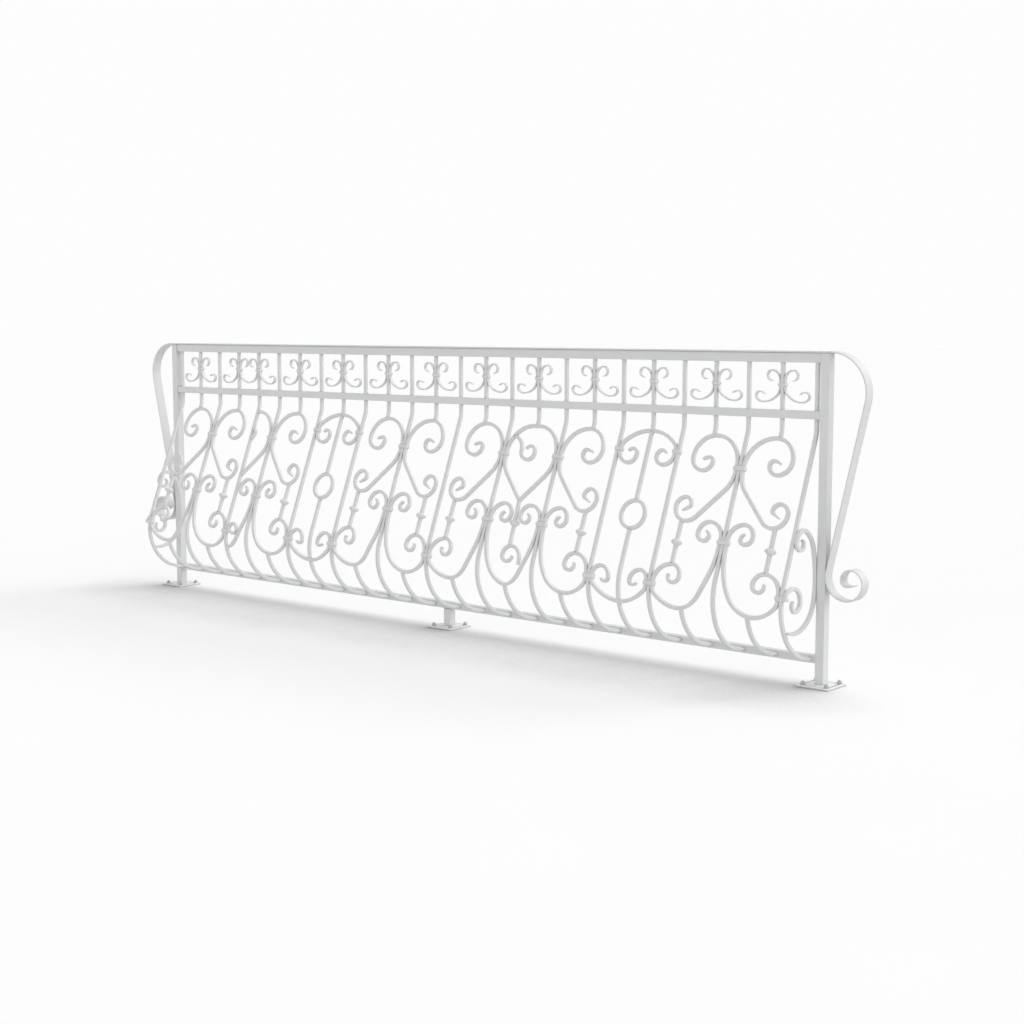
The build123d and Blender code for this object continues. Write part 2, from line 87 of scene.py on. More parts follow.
# Scroll panel: distances down the slope from the bend
upper_collar_drop = 0.126
mid_collar_drop = 0.363
arch_collar_drop = 0.0835
ring_drop = 0.2995
ring_bend = 0.046
collar_height = 0.014
collar_wall = 0.002
collar_swell = 0.0008
collar_rows = (-0.5, 0.0, 0.5)
band_rows = (0.1, 0.5, 0.9)

# Bends of the scrolls: radius of each quarter turn, from the collar outwards
heart_top_radii = (0.0965, 0.0715, 0.045, 0.0315, 0.013)
heart_tip_radius = 0.0395
heart_tip_turn = 38.0
heart_leg_radius = 0.097
heart_leg_turn = 42.5
heart_leg_length = 0.122
heart_curl_radii = (0.051, 0.045, 0.032, 0.023)
heart_hook_radius = 0.0095
heart_hook_length = 0.028
lyre_neck = 0.004
lyre_top_radii = (0.0505, 0.037, 0.025, 0.017)
lyre_tip_radius = 0.015
lyre_tip_run = 0.006
lyre_leg_radii = (0.321, 0.093)
lyre_bowl_radius = 0.118
lyre_curl_radii = (0.060, 0.035, 0.0225, 0.0185)
arch_crown_radius = 0.143
arch_curl_radii = (0.039, 0.0295, 0.019)
basin_curl_radii = (0.030, 0.036, 0.013)
crown_tip_radius = 0.018
knuckle_offset = 0.170
knuckle_width = 0.037
knuckle_height = 0.024
knuckle_power = 1.7
shared_sway = 0.006
hook_left_radii = (0.031, 0.023, 0.021)
hook_right_radius = 0.045
hook_shift = 0.014
hook_tail = 0.017
curl_radii = (0.022, 0.022, 0.027, 0.034)
curl_arm_radius = 0.046
curl_top_drop = 0.0945
curl_shift = -0.006
small_curl_radii = (0.024, 0.022, 0.017)
small_tip_radius = 0.014
leg_start_turn = 30.0
tip_turn = 60.0
end_tip_turn = 33.0
fine_share = 0.35
tip_share = 0.6
full_share = 1.0
foot_share = 0.5
foot_sink = 0.004
tip_run = 0.045

# Frieze scrolls, end panels and end scrolls of the cap
thin_bar = 0.005
frieze_collar_height = 0.910
frieze_band_height = 0.010
frieze_rise = 0.014
frieze_fall = 0.0065
frieze_top_radii = (0.0295, 0.015, 0.017)
frieze_leg_radii = (0.038, 0.067)
frieze_curl_radii = (0.032, 0.013)
frieze_hook_radius = 0.0125
frieze_tip_radius = 0.030
frieze_tip_turn = 40.0
side_run_height = 0.320
side_run_offset = 0.012
side_up_radii = (0.392, 0.092, 0.040, 0.035, 0.0235, 0.0165, 0.014)
side_up_turns = (15.0, 45.0, 30.0, 90.0, 90.0, 90.0, 70.0)
side_down_radii = (0.244, 0.107, 0.115, 0.114)
side_down_turns = (-15.0, -40.0, -35.0, -18.0)
side_neck_radii = (0.016, 0.065)
side_neck_turn = 50.0
side_curl_radii = (0.044, 0.028, 0.020)
strip_lead = 0.005
strip_shoulder_radius = 0.120
strip_return_turn = 13.0
volute_radii = (0.068, 0.055, 0.040, 0.0315, 0.020)
volute_tip_radius = 0.040
volute_tip_turn = 25.0

# Soft edges, and how finely bends and corners are drawn
edge_round = 0.0018
thin_round = 0.0012
tube_round = 0.0016
merge_parts = 20
corner_steps = 3
step_turn = 8.0
step_length = 0.020
half_turn = 180.0
quarter = 90.0
eighth = 45.0

# Bolts and welds
bolt_spacing = 0.080
nut_radius = 0.0075
nut_height = 0.0065
washer_radius = 0.0085
washer_height = 0.0016
stud_radius = 0.004
stud_height = 0.0035
round_sides = 20
nut_sides = 6
weld_leg = 0.0035
weld_wobble = 0.0007
weld_grain = 450.0

# Which uprights carry what, counted from the left end
full_bars = (0, 2, 4, 5, 7, 9, 11, 13, 15, 17, 19, 21, 23, 25)
stub_bars = (1, 3, 6, 10, 12, 14, 16, 18, 22, 24)
ring_centres = (8, 20)
frieze_places = (1, 3, 4, 6, 8, 10, 12, 14, 16, 18, 20, 22, 24)
scroll_centres = (2, 5, 11, 15, 17, 23)
shared_bar = 16
cut_bar = 4
shared_frieze_pair = (3, 4)
whole_left = (2, 11, 15, 23)
whole_right = (2, 5, 11, 17, 23)
lower_collar_bars = (0, 4, 7, 9, 13, 19, 21, 25)
arch_collar_bars = (7, 9, 19, 21)


def bar_x(number):
    """Place of an upright bar along the rail."""
    return first_x + pitch * number


# The belly ends in a straight run that meets the front of the bottom rail at its middle
down_slope = Vector((0, -sin(lean), -cos(lean)))
off_slope = Vector((0, -cos(lean), sin(lean)))
bend_point = Vector((0, 0, bend_height))
belly_start = bend_point + down_slope * lean_length
belly_centre = belly_start - off_slope * belly_radius
landing = Vector((0, -rail_size / 2, bottom_rail_centre)) - belly_centre
landing_angle = atan2(landing.z, landing.y) + acos(-belly_radius / hypot(landing.y, landing.z))
landing_length = sqrt(landing.length_squared - belly_radius ** 2)
belly_turn = lean_turn + degrees(landing_angle)


# Paths: a move is (radius or length, turn)
def path_of(start, heading, moves):
    """Points along a bent bar, one move after another."""
    x, y = start
    angle = radians(heading)
    points = [(x, y)]
    for reach, turn in moves:
        length = reach if turn == 0 else reach * radians(abs(turn))
        steps = max(1, ceil(abs(turn) / step_turn), ceil(length / step_length))
        change = radians(turn) / steps
        chord = length / steps if turn == 0 else 2 * reach * sin(abs(change) / 2)
        for step in range(steps):
            x += chord * cos(angle + change / 2)
            y += chord * sin(angle + change / 2)
            angle += change
            points.append((x, y))
    return points


def both_ways(start, heading, forward, backward):
    """Points of a scroll from its backward tip through its collar to its forward tip."""
    back = path_of(start, heading + half_turn, backward)
    return back[:0:-1] + path_of(start, heading, forward)


def quarters(radii, turn):
    """A run of equal turns, one for each radius."""
    return [(radius, turn) for radius in radii]


def on_slope(x, drop):
    """Point of the bowed sheet at a drop down the slope, and the way it faces."""
    past = max(0.0, drop - lean_length)
    depth = sqrt(belly_radius ** 2 - past ** 2)
    place = bend_point + down_slope * drop - off_slope * (belly_radius - depth)
    facing = (off_slope * depth + down_slope * past) / belly_radius
    return Vector((x, place.y, place.z)), facing


def slope_path(centre_x, hand, points):
    """A path of the scroll panel, bent with the sheet; hand -1 is its mirror image."""
    return [on_slope(centre_x + hand * x, -y) for x, y in points]


def flat_path(points, place, facing):
    """A path in an upright plane; place turns a pair into a point."""
    return [(place(u, v), facing) for u, v in points]


# Moves of the scrolls, seen from the front on the right-hand side of their bar
collar_run = (collar_height / 2, 0)
heart_up = [collar_run] + quarters(heart_top_radii, -quarter) + [(heart_tip_radius, -heart_tip_turn)]
heart_down = [collar_run, (heart_leg_radius, heart_leg_turn), (heart_leg_length, 0)]
heart_down += [(heart_curl_radii[0], quarter - heart_leg_turn)]
heart_down += quarters(heart_curl_radii[1:], quarter)
heart_down += [(heart_hook_radius, tip_turn), (heart_hook_length, 0)]
half_heart_up = [collar_run, (heart_top_radii[0], -quarter), (heart_leg_radius, 0)]
half_heart_down = [collar_run, (heart_leg_radius, heart_leg_turn), (heart_leg_length + 2 * bar, 0)]
lyre_up = [collar_run, (lyre_neck, 0)] + quarters(lyre_top_radii, -quarter)
lyre_up += [(lyre_tip_radius, -tip_turn), (lyre_tip_run, 0)]
lyre_leg = [collar_run, (lyre_leg_radii[0], leg_start_turn)]
lyre_leg += [(lyre_leg_radii[1], quarter - leg_start_turn)]
root_half = sqrt(0.5)
lyre_leg_angle = radians(leg_start_turn)
lyre_bowl_x = bar + lyre_leg_radii[0] * (1 - cos(lyre_leg_angle)) + lyre_leg_radii[1] * cos(lyre_leg_angle)
lyre_side_x = 2 * pitch - bar
lyre_side_radius = (lyre_side_x - lyre_bowl_x - lyre_bowl_radius * root_half) / (1 - root_half)
lyre_down = lyre_leg + quarters((lyre_bowl_radius, lyre_side_radius), eighth) + [(collar_height, 0)]
lyre_down += quarters(lyre_curl_radii, quarter) + [(lyre_tip_radius, end_tip_turn)]
crown_side_radius = (pitch - bar - arch_crown_radius * root_half) / (1 - root_half)
crown_half = quarters((arch_crown_radius, crown_side_radius), -eighth) + [(collar_height, 0)]
arch_half = crown_half + quarters(arch_curl_radii, -quarter) + [(crown_tip_radius, -tip_turn)]
basin_half = crown_half + quarters(basin_curl_radii, -quarter) + [(crown_tip_radius, -tip_turn)]
small_curl = [collar_run] + quarters(small_curl_radii, -quarter) + [(small_tip_radius, -tip_turn)]
frieze_up = [(frieze_rise, 0)] + quarters(frieze_top_radii, -quarter)
frieze_down = [(frieze_fall, 0)] + quarters(frieze_leg_radii + frieze_curl_radii, eighth)
frieze_down += [(frieze_hook_radius, quarter), (frieze_tip_radius, frieze_tip_turn)]
frieze_meet = pitch / 2 - half_bar - thin_bar / 2
meeting_radius = (frieze_meet - frieze_leg_radii[0] * (1 - root_half)) / root_half
half_frieze_down = [(frieze_fall, 0), (frieze_leg_radii[0], eighth), (meeting_radius, eighth)]

# Deepest and widest places of the scrolls, where other bars meet them
heart_top_drop = upper_collar_drop - collar_height / 2 - heart_top_radii[0]
leg_angle = radians(heart_leg_turn)
heart_curl_drop = upper_collar_drop + collar_height / 2 + heart_leg_radius * sin(leg_angle)
heart_curl_drop += heart_leg_length * cos(leg_angle) + heart_curl_radii[0] * (1 - sin(leg_angle))
lyre_bowl_drop = mid_collar_drop + collar_height / 2 + lyre_leg_radii[0] * sin(lyre_leg_angle)
lyre_bowl_drop += lyre_leg_radii[1] * (1 - sin(lyre_leg_angle))
lyre_bowl_rise = lyre_bowl_radius * (1 - root_half) + lyre_side_radius * root_half
lower_collar_drop = lyre_bowl_drop - lyre_bowl_rise - collar_height / 2
lyre_curl_drop = lower_collar_drop - collar_height / 2 - lyre_curl_radii[0]
crown_rise = arch_crown_radius * (1 - root_half) + crown_side_radius * root_half
arch_top_drop = arch_collar_drop - collar_height / 2 - crown_rise
basin_drop = lower_collar_drop + collar_height / 2 + crown_rise
shared_reach = pitch - bar - heart_leg_radius * (1 - cos(leg_angle))
shared_drop = upper_collar_drop + collar_height / 2 + heart_leg_radius * sin(leg_angle)
shared_drop += shared_reach / tan(leg_angle)


def rounded_section(half_side, half_facing, rounding):
    """Rounded rectangle, as distances to the side and along the facing."""
    rounding = min(rounding, half_side, half_facing)
    corners = ((1, 1), (-1, 1), (-1, -1), (1, -1))
    section = []
    for number, (side_sign, facing_sign) in enumerate(corners):
        for step in range(corner_steps + 1):
            angle = radians(quarter * (number + step / corner_steps))
            across = side_sign * (half_side - rounding) + rounding * cos(angle)
            outward = facing_sign * (half_facing - rounding) + rounding * sin(angle)
            section.append((across, outward))
    return section


class Iron:
    """Vertices and faces of one piece, gathered bar by bar."""

    def __init__(self):
        self.points = []
        self.faces = []

    def sweep(self, path, sizes, rounding, closed=False):
        """Bar along a path of (point, facing); sizes are half widths to the side and along the facing."""
        count = len(path)
        first = len(self.points)
        ring = 4 * (corner_steps + 1)
        for number, (point, facing) in enumerate(path):
            before = path[(number - 1) % count if closed else max(number - 1, 0)][0]
            after = path[(number + 1) % count if closed else min(number + 1, count - 1)][0]
            side = facing.cross(after - before).normalized()
            for across, outward in rounded_section(*sizes[number], rounding):
                self.points.append(point + side * across + facing * outward)
        for number in range(count if closed else count - 1):
            low = first + number * ring
            high = first + (number + 1) % count * ring
            for corner in range(ring):
                turn = (corner + 1) % ring
                self.faces.append((low + corner, low + turn, high + turn, high + corner))
        if not closed:
            last = first + (count - 1) * ring
            self.faces.append(tuple(reversed(range(first, first + ring))))
            self.faces.append(tuple(range(last, last + ring)))

    def bar(self, path, half_side, half_facing, rounding, shares=(full_share, full_share)):
        """Bar with soft ends; each end narrows to its share over the tip's run."""
        points = [point for point, facing in path]
        runs = [0.0]
        for before, after in zip(points, points[1:]):
            runs.append(runs[-1] + (after - before).length)
        sizes = []
        for run in runs:
            narrow = half_side
            for share, left in zip(shares, (run, runs[-1] - run)):
                if left < tip_run:
                    narrow *= share + (1 - share) * sin(left / tip_run * pi / 2)
            sizes.append((narrow, half_facing))
        path = list(path)
        for end, inner in ((0, 1), (-1, -2)):
            point, facing = path[end]
            outward = (point - path[inner][0]).normalized()
            side, flat = sizes[end]
            cap = min(rounding, side / 2, flat / 2)
            tip_path = []
            tip_sizes = []
            for inset, back in ((cap, 0.0), (cap * (1 - root_half), cap * (1 - root_half))):
                tip_path.append((point - outward * back, facing))
                tip_sizes.append((side - inset, flat - inset))
            body = (point - outward * cap, facing)
            if end == 0:
                path[0:1] = tip_path + [body]
                sizes[0:1] = tip_sizes + [(side, flat)]
            else:
                path[-1:] = [body] + tip_path[::-1]
                sizes[-1:] = [(side, flat)] + tip_sizes[::-1]
        self.sweep(path, sizes, rounding)

    def roughen(self, first):
        """Uneven surface of a weld, from a point number on."""
        for number in range(first, len(self.points)):
            point = self.points[number]
            self.points[number] = point + noise.noise_vector(point * weld_grain) * weld_wobble

    def piece(self, name, material, nodes=()):
        """The finished object, riding on the rail; it stands for the nodes named."""
        mesh = bpy.data.meshes.new(name)
        mesh.from_pydata([tuple(point) for point in self.points], [], self.faces)
        mesh.polygons.foreach_set("use_smooth", [True] * len(mesh.polygons))
        mesh.materials.append(material)
        item = bpy.data.objects.new(name, mesh)
        bpy.context.scene.collection.objects.link(item)
        normals = item.modifiers.new("even shading", "WEIGHTED_NORMAL")
        normals.keep_sharp = True
        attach(item, "root")
        if nodes:
            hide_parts(*nodes)
        return item


# Shader nodes; the Mix node's sockets go by number, since colours and values share their names
mix_colours = (6, 7)
mix_colour_out = 2
mix_values = (2, 3)
opaque = 1.0


def link(tree, source, output, target, socket):
    """Join one node's output to another node's input."""
    tree.links.new(source.outputs[output], target.inputs[socket])


def ranged(tree, source, output, low, high, start=0.0, end=1.0):
    """Stretch a value from start..end to low..high."""
    node = tree.nodes.new("ShaderNodeMapRange")
    node.inputs["From Min"].default_value = start
    node.inputs["From Max"].default_value = end
    node.inputs["To Min"].default_value = low
    node.inputs["To Max"].default_value = high
    link(tree, source, output, node, "Value")
    return node


def stepped(tree, source, output, low, high, start, end):
    """Stretch a value from start..end to low..high, with a soft step."""
    node = ranged(tree, source, output, low, high, start, end)
    node.interpolation_type = "SMOOTHSTEP"
    return node


def sum_of(tree, operation, first, first_output, second, second_output):
    """One sum of two values."""
    node = tree.nodes.new("ShaderNodeMath")
    node.operation = operation
    link(tree, first, first_output, node, 0)
    link(tree, second, second_output, node, 1)
    return node


def scaled(tree, source, output, factor):
    """A value times a number."""
    node = tree.nodes.new("ShaderNodeMath")
    node.operation = "MULTIPLY"
    node.inputs[1].default_value = factor
    link(tree, source, output, node, 0)
    return node


def noise_texture(tree, coordinates, scale, detail):
    """Noise at a scale in waves per metre."""
    node = tree.nodes.new("ShaderNodeTexNoise")
    node.inputs["Scale"].default_value = scale
    node.inputs["Detail"].default_value = detail
    link(tree, coordinates, "Object", node, "Vector")
    return node


def mixed(tree, factor, output, first, second):
    """Mix of two colours by a factor; a colour is three numbers or a node."""
    node = tree.nodes.new("ShaderNodeMix")
    node.data_type = "RGBA"
    link(tree, factor, output, node, 0)
    for socket, colour in zip(mix_colours, (first, second)):
        if isinstance(colour, tuple):
            node.inputs[socket].default_value = colour + (opaque,)
        else:
            link(tree, colour, mix_colour_out, node, socket)
    return node


def seen_rays(tree):
    """1 for the rays that see the background: from the camera, mirrored or let through."""
    rays = tree.nodes.new("ShaderNodeLightPath")
    mirrored = sum_of(tree, "MAXIMUM", rays, "Is Camera Ray", rays, "Is Glossy Ray")
    return sum_of(tree, "MAXIMUM", mirrored, "Value", rays, "Is Transmission Ray")


def sheltered(tree, reach, factor):
    """How far a place is closed in by iron within a reach: 0 in the open, the factor in a deep corner."""
    shelter = tree.nodes.new("ShaderNodeAmbientOcclusion")
    shelter.inputs["Distance"].default_value = reach
    shelter.samples = corner_samples
    return ranged(tree, shelter, "AO", factor, 0.0, deep_corner, open_place)


# Paint: linear colours, reaches in metres, noise in waves per metre
bright_coat = (0.795, 0.80, 0.80)
dull_coat = (0.735, 0.74, 0.745)
# Lighter paint for sharp edges
edge_coat = (0.835, 0.84, 0.84)
# A dusty grey that is also painted shade, laid where iron closes in
dust_and_painted_shade_colour = (0.56, 0.55, 0.53)
# Painted shade: a near black colour for tight corners, such as under the cap's overhang
painted_seam_shade_colour = (0.24, 0.24, 0.245)
coat_noise = (9.0, 4.0)
brush_noise = (140.0, 5.0)
grain_noise = (900.0, 3.0)
edge_start = 0.53
edge_full = 0.62
corner_samples = 6
deep_corner = 0.25
open_place = 0.85
dust_and_painted_shade_reach = 0.03
dust_and_painted_shade_share = 0.35
painted_seam_shade_reach = 0.007
painted_seam_shade_share = 0.7
smoother = 0.08
rougher = 0.10
bump_depth = 0.0004
paint_mirror = 0.4
even_bump = 0.20
rough_bump = 0.45
satin = 0.45
dull_satin = 0.50
plain_tone = 1.0
# Painted light: the base plates take a lighter copy of the paint
plate_painted_light_tone = 1.14
# Darker grey bolts, partly painted shade for the nut sides
bolt_grey_and_painted_shade_tone = 0.66


def toned(colour, tone):
    """A colour made darker or lighter."""
    return tuple(channel * tone for channel in colour)


def paint(name, bump_strength, roughness, tone):
    """Satin white paint, brushed on iron: uneven coats, a dusty grey with painted shade in the corners,
    painted shade in tight joins and lighter paint on sharp edges.
    """
    material = bpy.data.materials.new(name)
    material.use_nodes = True
    tree = material.node_tree
    shader = tree.nodes["Principled BSDF"]
    place = tree.nodes.new("ShaderNodeTexCoord")
    coats = noise_texture(tree, place, *coat_noise)
    brush = noise_texture(tree, place, *brush_noise)
    grain = noise_texture(tree, place, *grain_noise)
    shape = tree.nodes.new("ShaderNodeNewGeometry")
    # Lighter paint where edges are sharp, patchy with the brush noise
    edges = ranged(tree, shape, "Pointiness", 0.0, 1.0, edge_start, edge_full)
    # Dusty grey and painted shade: the colour turns grey where iron closes in within a few centimetres
    dust_and_painted_shade = sheltered(tree, dust_and_painted_shade_reach, dust_and_painted_shade_share)
    # Painted shade: the colour goes near black in tight corners within a few millimetres
    painted_seam_shade = sheltered(tree, painted_seam_shade_reach, painted_seam_shade_share)
    coat = mixed(tree, coats, "Fac", toned(bright_coat, tone), toned(dull_coat, tone))
    sharp_edge_lift = sum_of(tree, "MULTIPLY", edges, "Result", brush, "Fac")
    edged = mixed(tree, sharp_edge_lift, "Value", coat, toned(edge_coat, tone))
    dust_and_painted_shade_mixed = mixed(tree, dust_and_painted_shade, "Result", edged, dust_and_painted_shade_colour)
    painted_seam_shaded = mixed(tree, painted_seam_shade, "Result", dust_and_painted_shade_mixed, painted_seam_shade_colour)
    link(tree, painted_seam_shaded, mix_colour_out, shader, "Base Color")
    gloss = ranged(tree, brush, "Fac", roughness - smoother, roughness + rougher)
    link(tree, gloss, "Result", shader, "Roughness")
    height = sum_of(tree, "ADD", brush, "Fac", grain, "Fac")
    bump = tree.nodes.new("ShaderNodeBump")
    bump.inputs["Strength"].default_value = bump_strength
    bump.inputs["Distance"].default_value = bump_depth
    link(tree, height, "Value", bump, "Height")
    link(tree, bump, "Normal", shader, "Normal")
    shader.inputs["Specular IOR Level"].default_value = paint_mirror
    return material


white_paint = paint("white_paint", even_bump, satin, plain_tone)
weld_paint = paint("weld_paint", rough_bump, dull_satin, plain_tone)
# Painted light: a lighter copy of the white paint for the base plates' lit tops
plate_paint_painted_light = paint("plate_paint_painted_light", even_bump, satin, plate_painted_light_tone)
# Bolts: a darker copy of the white paint, grey and partly painted shade
bolt_paint = paint("bolt_paint", rough_bump, dull_satin, bolt_grey_and_painted_shade_tone)


# Posts, leg, rails, cap and base plates keep their shape and get soft edges
for node in ("left_post", "right_post", "centre_leg", "top_rail", "mid_rail", "bottom_rail", "handrail_cap",
             "left_base_plate", "centre_base_plate", "right_base_plate"):
    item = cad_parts[node]
    item.data.materials.clear()
    item.data.materials.append(plate_paint_painted_light if node.endswith("plate") else white_paint)
    weld = item.modifiers.new("join corners", "WELD")
    weld.merge_threshold = tube_round / merge_parts
    bevel = item.modifiers.new("soft edges", "BEVEL")
    bevel.width = tube_round
    bevel.segments = corner_steps
    bevel.limit_method = "ANGLE"
    bevel.harden_normals = True


# Uprights and the shorter bars
upright_moves = [(top_rail_under - bend_height - bend_run, 0), (bend_radius, -lean_turn)]
upright_moves += [(lean_length - bend_run, 0), (belly_radius, belly_turn)]
upright_moves += [(landing_length + foot_sink, 0)]
foot_shares = (full_share, foot_share)


def upright_path(number, drop_top=None, drop_foot=None):
    """Path of an upright, or of its length between two drops down the slope."""
    x = bar_x(number)
    kept = []
    for y, z in path_of((0.0, top_rail_under), -quarter, upright_moves):
        drop = (Vector((0, y, z)) - bend_point).dot(down_slope)
        if drop_top is not None and drop <= drop_top:
            continue
        if drop_foot is not None and drop >= drop_foot:
            continue
        kept.append((Vector((x, y, z)), Vector((1, 0, 0))))
    if drop_top is not None:
        kept.insert(0, (on_slope(x, drop_top)[0], Vector((1, 0, 0))))
    if drop_foot is not None:
        kept.append((on_slope(x, drop_foot)[0], Vector((1, 0, 0))))
    return kept


for number in full_bars:
    iron = Iron()
    iron.bar(upright_path(number), half_bar, half_bar, edge_round, foot_shares)
    iron.piece(f"forged_upright_{number:02d}", white_paint, [f"upright_{number:02d}"])

frieze_iron = Iron()
foot_iron = Iron()
for number in stub_bars:
    frieze_iron.bar(upright_path(number, None, heart_top_drop), half_bar, half_bar, edge_round)
    foot_path = upright_path(number, lyre_bowl_drop, None)
    foot_iron.bar(foot_path, half_bar, half_bar, edge_round, foot_shares)
frieze_iron.piece("forged_frieze_bars", white_paint, ["frieze_bars"])
foot_iron.piece("forged_foot_bars", white_paint, ["foot_bars"])

ring_iron = Iron()
ring_bar_iron = Iron()
for number in ring_centres:
    circle = path_of((ring_bend, -ring_drop), quarter, quarters((ring_bend,) * 4, quarter))[:-1]
    path = slope_path(bar_x(number), 1, circle)
    ring_iron.sweep(path, [(half_bar, half_bar)] * len(path), edge_round, closed=True)
    for span in ((None, arch_top_drop), (arch_top_drop, ring_drop - ring_bend),
                 (ring_drop + ring_bend, basin_drop), (basin_drop, None)):
        shares = (full_share, full_share) if span[1] else foot_shares
        ring_bar_iron.bar(upright_path(number, *span), half_bar, half_bar, edge_round, shares)
ring_iron.piece("forged_rings", white_paint, ["rings"])
ring_bar_iron.piece("forged_ring_bars", white_paint, ["ring_bars"])


# Heart and lyre scrolls
def runs_inside(points, limit):
    """The stretches of a path that lie within a distance of their bar, each up to that distance."""
    runs = [[]]
    for (x, y), (next_x, next_y) in zip(points, points[1:] + points[-1:]):
        inside = x <= limit
        if inside:
            runs[-1].append((x, y))
        if inside != (next_x <= limit):
            along = (limit - x) / (next_x - x)
            runs[-1].append((limit, y + along * (next_y - y)))
            if inside:
                runs.append([])
    return [run for run in runs if len(run) > 2]


def scroll_half(iron, number, hand, drop, up, down, limit, shares):
    """One scroll beside its bar, cut off at a limit where a neighbour stands in its way."""
    points = both_ways((bar, -drop), quarter, up, down)
    for run in runs_inside(points, limit):
        ends = [share if run[end] == points[end] else full_share for end, share in zip((0, -1), shares)]
        iron.bar(slope_path(bar_x(number), hand, run), half_bar, half_bar, edge_round, ends)


heart_shares = (fine_share, tip_share)
lyre_shares = (tip_share, tip_share)
no_limit = 3 * pitch
for order, number in enumerate(scroll_centres, start=1):
    heart_iron = Iron()
    lyre_iron = Iron()
    for hand, whole in ((-1, whole_left), (1, whole_right)):
        if number in whole or number - 1 == cut_bar:
            limit = no_limit if number in whole else pitch - half_bar / 2
            moves = (heart_up, heart_down)
            scroll_half(heart_iron, number, hand, upper_collar_drop, *moves, limit, heart_shares)
            scroll_half(lyre_iron, number, hand, mid_collar_drop, lyre_up, lyre_down, limit, lyre_shares)
        else:
            moves = (half_heart_up, half_heart_down)
            scroll_half(heart_iron, number, hand, upper_collar_drop, *moves, pitch, heart_shares)
            scroll_half(lyre_iron, number, hand, mid_collar_drop, lyre_up, lyre_leg, pitch, lyre_shares)
    if number - 1 == cut_bar:
        ends = (full_share, tip_share)
        scroll_half(lyre_iron, cut_bar, 1, lower_collar_drop, small_curl, [collar_run], no_limit, ends)
    heart_iron.piece(f"forged_heart_scrolls_{order}", white_paint, [f"heart_scrolls_{order}"])
    lyre_iron.piece(f"forged_lyre_scrolls_{order}", white_paint, [f"lyre_scrolls_{order}"])

# Arch and basin scrolls of the ring bays
for name, moves, drop, flip in (("arch_scrolls", arch_half, arch_top_drop, 1),
                                ("basin_scrolls", basin_half, basin_drop, -1)):
    iron = Iron()
    half = path_of((0.0, 0.0), 0, moves)
    crown = [(-x, y) for x, y in half[:0:-1]] + half
    for number in ring_centres:
        points = [(x, flip * y - drop) for x, y in crown]
        path = slope_path(bar_x(number), 1, points)
        iron.bar(path, half_bar, half_bar, edge_round, (tip_share, tip_share))
    iron.piece("forged_" + name, white_paint, [name])


# Knuckle bars, the hook under the shared bar and the curl inside the shared heart
def knuckle_bar(iron, x, drop_top, drop_foot, sway):
    """Bar on the slope with a swollen knuckle at its middle; its foot stands aside by the sway."""
    iron.bar([on_slope(x, drop_top), on_slope(x + sway, drop_foot)], half_bar, half_bar, edge_round)
    centre = (drop_top + drop_foot) / 2
    path = []
    sizes = []
    steps = 2 * corner_steps + 2
    for step in range(steps + 1):
        along = 2 * step / steps - 1
        path.append(on_slope(x + sway / 2, centre + knuckle_height / 2 * along))
        radius = half_bar + (knuckle_width / 2 - half_bar) * (1 - abs(along) ** knuckle_power)
        sizes.append((radius, radius))
    iron.sweep(path, sizes, knuckle_width)


knuckle_iron = Iron()
for number in scroll_centres:
    for hand, whole in ((-1, whole_left), (1, whole_right)):
        if number in whole:
            x = bar_x(number) + hand * knuckle_offset
            knuckle_bar(knuckle_iron, x, heart_curl_drop, lyre_curl_drop, 0.0)
shared_x = bar_x(shared_bar)
knuckle_bar(knuckle_iron, shared_x, shared_drop, lyre_curl_drop, shared_sway)
knuckle_iron.piece("forged_knuckle_bars", white_paint, ["knuckle_bars"])

hook_iron = Iron()
hook_right = [(hook_right_radius, -quarter), (hook_tail, 0)]
hook = both_ways((hook_shift, -lyre_curl_drop), 0, hook_right, quarters(hook_left_radii, quarter))
hook_iron.bar(slope_path(shared_x, 1, hook), half_bar, half_bar, edge_round, (tip_share, tip_share))
hook_iron.piece("forged_shared_hook", white_paint, ["shared_hook"])

curl_iron = Iron()
curl_round = quarters(curl_radii[1:], -quarter) + [(curl_arm_radius, quarter)]
curl = both_ways((curl_shift, -curl_top_drop), 0, curl_round, [(curl_radii[0], tip_turn)])
curl_iron.bar(slope_path(shared_x, 1, curl), half_bar, half_bar, edge_round, (tip_share, full_share))
curl_iron.piece("forged_shared_curl", white_paint, ["shared_curl"])


# Collars, swollen a little between their edges
def band(iron, path, half_side, half_facing):
    """Wrapped band with a soft swell, along a short path of three points."""
    rows = [path[0]]
    sizes = [(half_side - thin_round, half_facing - thin_round)]
    for half in (0, 1):
        low, facing = path[half]
        high = path[half + 1][0]
        for share in band_rows:
            rows.append((low.lerp(high, share), facing))
            near = collar_swell * sin(pi / 2 * (1 - share if half else share))
            sizes.append((half_side + near, half_facing + near))
    rows.append(path[2])
    sizes.append(sizes[0])
    iron.sweep(rows, sizes, edge_round)


def slope_collar(iron, number, drop, left_count, right_count):
    """Band round an upright and the scroll bars on its left and right."""
    x = bar_x(number) + bar * (right_count - left_count) / 2
    path = [on_slope(x, drop + share * collar_height) for share in collar_rows]
    width = bar * (1 + left_count + right_count)
    band(iron, path, width / 2 + collar_wall, half_bar + collar_wall)


collar_iron = Iron()
for number in scroll_centres:
    slope_collar(collar_iron, number, upper_collar_drop, 1, 1)
    slope_collar(collar_iron, number, mid_collar_drop, 1, 1)
for number in lower_collar_bars:
    slope_collar(collar_iron, number, lower_collar_drop, 1, 1)
for number in arch_collar_bars:
    on_right = number + 1 in ring_centres
    slope_collar(collar_iron, number, arch_collar_drop, 0 if on_right else 1, 1 if on_right else 0)
collar_iron.piece("forged_scroll_collars", white_paint, ["scroll_collars"])

